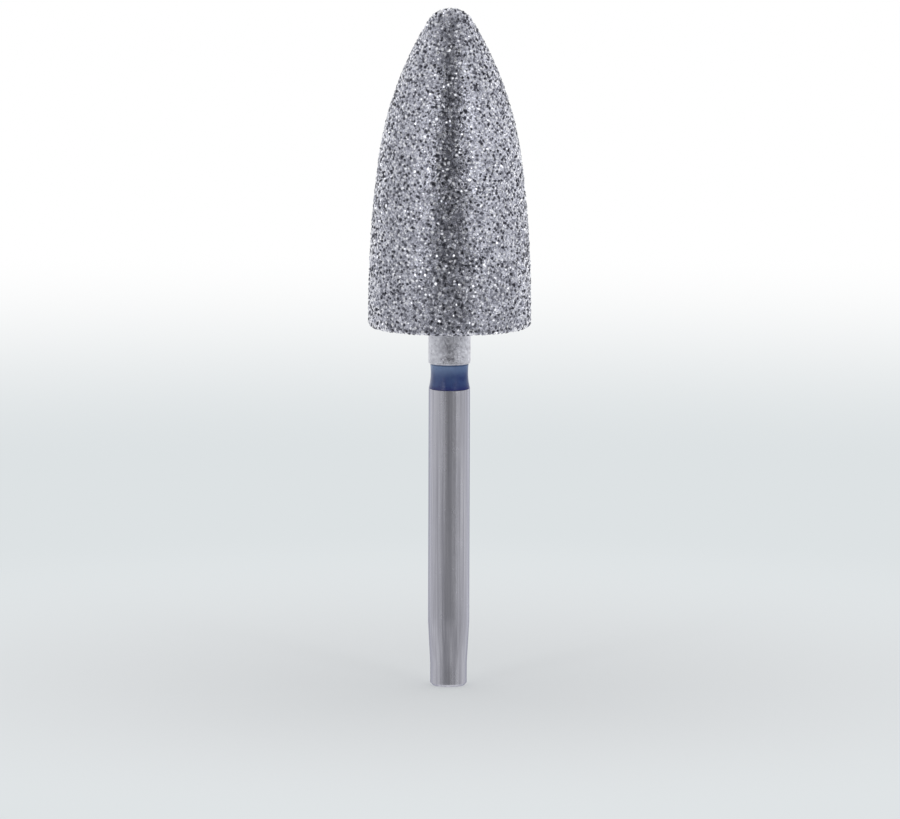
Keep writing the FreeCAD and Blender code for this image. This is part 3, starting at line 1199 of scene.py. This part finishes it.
    def build(self) -> list[bpy.types.Object]:
        """Builds the coat as one piece for each part of the head.

        Returns:
            The pieces.
        """
        draw = np.random.default_rng(self.seed)
        places, normals, share = self.lay_out(draw)
        corners = self.shapes(draw, places, normals)
        tones = self.tones(draw, places)
        finish = DiamondGrit().material()
        made, low = [], 0.0
        for part in self.parts:
            name, high = part.value
            mine = (share > low) & (share <= high)
            made.append(self.piece(name, corners[mine], tones[mine], finish))
            low = high
        return made

    def piece(
        self, name: str, corners: np.ndarray, tones: np.ndarray, finish: bpy.types.Material
    ) -> bpy.types.Object:
        """Builds one piece of the coat.

        Each crystal has a square of the map to itself, on which its corners lie as seen aslant.

        Args:
            name: Name of the piece.
            corners: The corners of its crystals, as (crystals, 12, 3).
            tones: The tone of each crystal.
            finish: The material of the crystals.

        Returns:
            The piece.
        """
        n = len(corners)
        first = (np.arange(n) * len(CRYSTAL))[:, None, None]
        triangles, squares = (f[None] + first for f in crystal_faces())
        columns = math.ceil(math.sqrt(n))
        # Moved on the map by its height, no corner of a crystal lies on another.
        aslant = CRYSTAL[:, :2] + CRYSTAL[:, 2:] * [0.35, -0.25]
        inside = aslant / (2.6 * np.abs(aslant).max()) + 0.5
        cell = np.stack([np.arange(n) % columns, np.arange(n) // columns], 1)
        places = ((cell[:, None] + inside[None]) / columns).reshape(-1, 2)
        faces = [triangles.reshape(-1, 3), squares.reshape(-1, 4)]
        mesh = make_mesh(name, corners.reshape(-1, 3), faces, [places[f] for f in faces])
        mesh.polygons.foreach_set("use_smooth", np.zeros(len(mesh.polygons), bool))
        tone = mesh.attributes.new("tone", "FLOAT", "POINT")
        tone.data.foreach_set("value", np.repeat(tones, len(CRYSTAL)).astype(np.float32))
        mesh.materials.append(finish)
        return add_piece(mesh, "diamond_grit")


# Floor, light and camera


def add_aimed(
    name: str, data: bpy.types.ID, aim: Vector, azimuth: float, elevation: float, distance: float
) -> bpy.types.Object:
    """Adds a lamp or a camera that faces a point.

    Args:
        name: Its name.
        data: Its lamp or lens.
        aim: The point that it faces.
        azimuth: Degrees round that point from the camera's side, positive to its right.
        elevation: Degrees over that point.
        distance: Metres from that point.

    Returns:
        The object.
    """
    a, e = math.radians(azimuth), math.radians(elevation)
    out = Vector((math.sin(a) * math.cos(e), -math.cos(a) * math.cos(e), math.sin(e)))
    made = add_object(name, data)
    made.location = aim + out * distance
    made.rotation_mode = "QUATERNION"
    made.rotation_quaternion = (-out).to_track_quat("-Z", "Y")
    return made


@dataclass(frozen=True)
class Softbox:
    """A soft area lamp that faces the bur."""

    name: str
    azimuth: float  # degrees from the camera's side, positive to its right
    elevation: float  # degrees
    distance: float  # metres
    width: float  # metres
    height: float  # metres
    brightness: float  # of its face, where 1 is white

    def build(self, aim: Vector) -> bpy.types.Object:
        """Adds the lamp. Its power is pi times its area times its brightness.

        Args:
            aim: The point that it faces.

        Returns:
            The lamp's object.
        """
        lamp = bpy.data.lights.new(self.name, "AREA")
        lamp.shape = "RECTANGLE"
        lamp.size, lamp.size_y = self.width, self.height
        lamp.energy = math.pi * self.width * self.height * self.brightness
        made = add_aimed(self.name, lamp, aim, self.azimuth, self.elevation, self.distance)
        made.visible_camera = False
        LOG.info("%s: %.2f W", self.name, lamp.energy)
        return made


@dataclass(frozen=True)
class Room:
    """Light from all round: a brightness for each way looked in, where 1 is white.

    A way has the parts X to the right, Y to the back and Z up, and its turn is how far its level
    part turns from the front: -1 at the front, 0 at the sides and 1 at the back. The fields that
    are pairs say where one brightness starts to give way to another, and where it has done so.
    """

    front: float = 0.07
    wall: float = 0.49
    back: float = 1.30
    crown: float = 0.54  # overhead
    strip: float = 1.95  # what an upright strip on either side of the front has over the walls
    right: float = 0.34  # what the lower wall on the right has over the rest
    near_floor: float = 0.49
    far_floor: float = 0.94
    under: float = 0.95  # straight below
    sides: Pair = (0.95, 1.05)  # share of all this at the far left and the far right
    front_turn: Pair = (-0.870, -0.835)  # from the front to the wall
    strip_in: Pair = (-0.89, -0.85)  # into a strip, by the turn
    strip_out: Pair = (-0.73, -0.80)  # and out of it
    strip_z: Pair = (-0.06, 0.08)  # up into a strip
    widening: float = 0.13  # how much further the front turns low on the right
    widening_x: Pair = (-0.2, 0.4)  # from the left of that to its full extent
    widening_z: Pair = (-0.10, 0.12)  # from its full extent upwards
    back_turn: Pair = (0.0, 0.8)  # from the wall to the back
    right_x: Pair = (0.5, 0.95)  # from the wall to the lower wall on the right
    right_top_z: Pair = (0.26, 0.03)  # down into it
    right_foot_z: Pair = (-0.09, 0.0)  # up into it
    crown_y: Pair = (-0.6, 0.4)  # from two fifths of the crown to the whole of it
    crown_z: Pair = (0.42, 0.82)  # from the walls to the crown
    floor_z: Pair = (-0.095, -0.135)  # from the walls to the floor
    floor_shift: float = 0.30  # how far to the right of the front the floor is darkest, by X
    floor_turn: Pair = (0.25, 1.0)  # from near to far floor, by the sine of half the turn
    under_z: Pair = (-0.45, -0.85)  # from the floor to straight below

    def upper(self, wiring: Wiring, part: Sockets, away: Socket) -> Socket:
        """Brightness over the horizon.

        A dark front, wider low on the right, lies between two bright upright strips. The walls grow
        brighter towards the back and low on the right, and give way to the crown overhead.

        Args:
            wiring: The room's nodes.
            part: The way's three parts.
            away: Its turn.

        Returns:
            The brightness.
        """
        x, y, z = part
        low = wiring.ranged(z, *self.widening_z, -self.widening, 0.0)
        wider = wiring.maths("MULTIPLY_ADD", low, wiring.ranged(x, *self.widening_x), away)
        walls = wiring.ranged(wider, *self.front_turn, self.front, self.wall)
        strips = wiring.combined(
            "MULTIPLY",
            wiring.ranged(wider, *self.strip_in),
            wiring.ranged(away, *self.strip_out),
            wiring.ranged(z, *self.strip_z, 0.0, self.strip),
        )
        behind = wiring.ranged(away, *self.back_turn, 0.0, self.back - self.wall)
        right = wiring.combined(
            "MULTIPLY",
            wiring.ranged(x, *self.right_x),
            wiring.ranged(z, *self.right_top_z),
            wiring.ranged(z, *self.right_foot_z, 0.0, self.right),
        )
        crown = wiring.ranged(y, *self.crown_y, 0.4 * self.crown, self.crown, Ramp.EVEN)
        walls = wiring.combined("ADD", walls, strips, behind, right)
        return wiring.mixed(wiring.ranged(z, *self.crown_z), walls, crown)

    def lower(self, wiring: Wiring, part: Sockets, away: Socket) -> Socket:
        """Brightness under the horizon, where the floor lies.

        It rises smoothly with the sine of half the angle from a way a little to the right of the
        front, which is the root of (1 + turn) / 2, and is even straight below.

        Args:
            wiring: The room's nodes.
            part: The way's three parts.
            away: Its turn.

        Returns:
            The brightness.
        """
        turned = wiring.maths("MULTIPLY_ADD", part["X"], -self.floor_shift, away)
        square = wiring.maths("MULTIPLY_ADD", turned, 0.5, 0.5)
        half = wiring.maths("SQRT", wiring.maths("MAXIMUM", square, 0.0))
        floor = wiring.ranged(half, *self.floor_turn, self.near_floor, self.far_floor)
        return wiring.mixed(wiring.ranged(part["Z"], *self.under_z), floor, self.under)

    def build(self) -> None:
        """Lights the scene. What the camera sees of the room directly is white."""
        world = bpy.data.worlds.new("room")
        bpy.context.scene.world = world
        world.use_nodes = True
        wiring = Wiring(world.node_tree)
        way = wiring.add("TexCoord").outputs["Generated"]
        part = wiring.add("SeparateXYZ", {"Vector": way}).outputs
        squared = wiring.maths("POWER", part["Z"], 2.0)
        level = wiring.maths("SQRT", wiring.maths("SUBTRACT", 1.0, squared))
        away = wiring.maths("DIVIDE", part["Y"], wiring.maths("MAXIMUM", level, 0.01))
        upper, lower = self.upper(wiring, part, away), self.lower(wiring, part, away)
        bright = wiring.mixed(wiring.ranged(part["Z"], *self.floor_z), upper, lower)
        share = wiring.ranged(part["X"], -1.0, 1.0, *self.sides, Ramp.EVEN)
        bright = wiring.maths("MULTIPLY", bright, share)
        seen = wiring.add("LightPath").outputs["Is Camera Ray"]
        light = {"Color": rgb(255, 255, 255), "Strength": wiring.mixed(seen, bright, 1.0)}
        wiring.add("OutputWorld", {"Surface": wiring.add("Background", light).outputs[0]})


@dataclass
class Studio:
    """Pale floor, soft light from all round and the camera."""

    room: Room = Room()
    boxes: tuple[Softbox, ...] = (
        Softbox("left softbox", -66.0, 26.0, 0.46, 0.60, 0.48, 0.38),
        Softbox("right softbox", 66.0, 26.0, 0.46, 0.60, 0.48, 0.42),
        Softbox("top softbox", 0.0, 88.0, 0.55, 0.30, 0.30, 0.30),
    )
    box_aim: float = 22.0  # height on the axis that they face, in millimetres
    floor_radius: float = 4.0  # metres
    floor_rings: int = 23
    floor_sides: int = 96
    aim_height: float = 15.84  # height of the picture's middle, in millimetres
    aim_side: float = 0.04  # how far right of the axis it is, in millimetres
    elevation: float = 8.0  # degrees that the camera looks down
    distance: float = 0.600  # metres from there to the camera
    seen_width: float = 51.147  # what the picture's width shows there, in millimetres
    roll: float = 0.18  # degrees that the camera leans

    def floor(self) -> bpy.types.Object:
        """Adds the floor: a flat disc of rings whose radii grow as squares.

        Returns:
            The floor's object.
        """
        radii = np.linspace(0.0, 1.0, self.floor_rings + 1)[1:] ** 2 * self.floor_radius / MM
        grid = Lathe(self.floor_sides).places(Outline(np.stack([radii, 0 * radii], 1)))
        places = np.concatenate([grid.reshape(-1, 3), np.zeros((1, 3))])
        numbers = np.arange(len(places) - 1).reshape(grid.shape[:2])
        numbers = np.pad(numbers, ((0, 0), (0, 1)), mode="wrap")
        quads = cells(numbers)[..., [0, 3, 2, 1]].reshape(-1, 4)
        hub = np.full(self.floor_sides, len(places) - 1)
        middle = np.stack([hub, numbers[0, :-1], numbers[0, 1:]], 1)
        flat = places[:, :2] / (2 * self.floor_radius / MM) + 0.5
        mesh = make_mesh("floor", places, [quads, middle], [flat[quads], flat[middle]])
        mesh.materials.append(PaleFloor().material())
        made = add_object("floor", mesh)
        made.visible_glossy = False
        return made

    def camera(self) -> bpy.types.Object:
        """Adds the camera: a long lens that looks a little down on the bur.

        Returns:
            The camera's object.
        """
        lens = bpy.data.cameras.new("camera")
        lens.sensor_width = 36.0
        lens.lens = lens.sensor_width * self.distance / (self.seen_width * MM)
        lens.clip_start, lens.clip_end = 0.01, 50.0
        aim = Vector((self.aim_side * MM, 0.0, self.aim_height * MM))
        made = add_aimed("camera", lens, aim, 0.0, self.elevation, self.distance)
        roll = Quaternion((0.0, 0.0, 1.0), math.radians(self.roll))
        made.rotation_quaternion = made.rotation_quaternion @ roll
        bpy.context.scene.camera = made
        return made

    def build(self) -> None:
        """Builds the whole studio."""
        self.camera()
        self.floor()
        self.room.build()
        for box in self.boxes:
            box.build(Vector((0.0, 0.0, self.box_aim * MM)))
        bpy.context.scene.view_settings.view_transform = "Standard"


def main() -> None:
    """Loads the frame and builds the studio and the bur round it."""
    logging.basicConfig(level=logging.INFO, format="%(name)s %(message)s")
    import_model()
    sizes = BurSizes()
    Studio().build()
    SteelBlank(sizes).build()
    ColourRing(sizes).build()
    NickelBond(sizes).build()
    GritCoat(sizes).build()


if __name__ == "__main__":
    main()
